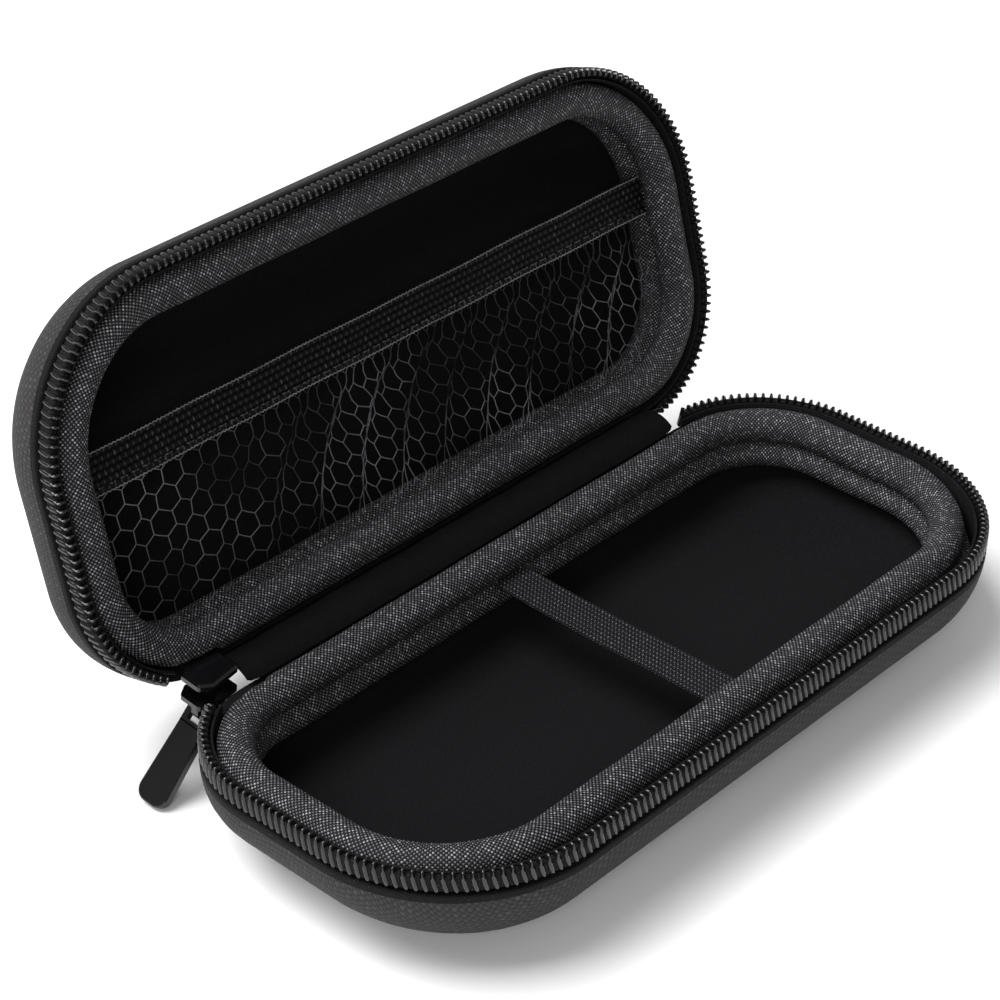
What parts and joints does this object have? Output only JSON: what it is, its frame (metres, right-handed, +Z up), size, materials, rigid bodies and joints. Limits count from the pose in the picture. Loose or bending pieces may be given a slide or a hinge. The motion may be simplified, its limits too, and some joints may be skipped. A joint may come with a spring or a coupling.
{
  "type": "console case",
  "caption": "Open zip-up hard case for a handheld game console: two domed fabric shells on a cloth hinge, net pocket in the lid, elastic strap below.",
  "frame": {"origin": "centre of the lower half's flat underside, below the middle of the zip line", "axes": "+X along the case's length, +Y towards the hinge, +Z up"},
  "size_m": [0.162, 0.1154, 0.0896],
  "materials": {
    "shell_fabric": "matte",
    "binding_webbing": "matte",
    "zip_tape": "matte",
    "zip_coil": "satin",
    "slider_metal": "gloss",
    "hinge_fabric": "matte",
    "elastic": "matte",
    "net": "matte"
  },
  "bodies": {
    "lower": {"lower_shell": "shell_fabric", "lower_binding": "binding_webbing", "lower_zip_tape": "zip_tape", "lower_zip_coil": "zip_coil", "hinge_strip": "hinge_fabric", "hold_strap": "elastic"},
    "lid": {"lid_shell": "shell_fabric", "lid_binding": "binding_webbing", "lid_zip_tape": "zip_tape", "lid_zip_coil": "zip_coil", "pocket_hem": "elastic", "pocket_net": "net"},
    "slider": {"zip_slider": "slider_metal"},
    "pull": {"zip_pull": "slider_metal"}
  },
  "joints": [
    {"name": "lid_hinge", "type": "hinge", "parent": "lower", "child": "lid", "pos_m": [0, 0.0373, 0.0198], "axis": [-1, 0, 0], "range_deg": [-106, 0], "deforming": ["hinge_strip"]},
    {"name": "slider_turn", "type": "hinge", "parent": "lower", "child": "slider", "pos_m": [-0.0613, 0.0361, 0.0188], "axis": [-1, 0, 0], "range_deg": [-85, 0]},
    {"name": "pull_swing", "type": "hinge", "parent": "slider", "child": "pull", "pos_m": [-0.0613, 0.04106, 0.01602], "axis": [0, 0.9962, 0.0872], "range_deg": [-131, 49]}
  ],
  "couplings": [
    {"joint": "slider_turn", "follows": "lid_hinge", "ratio": 0.80189}
  ]
}
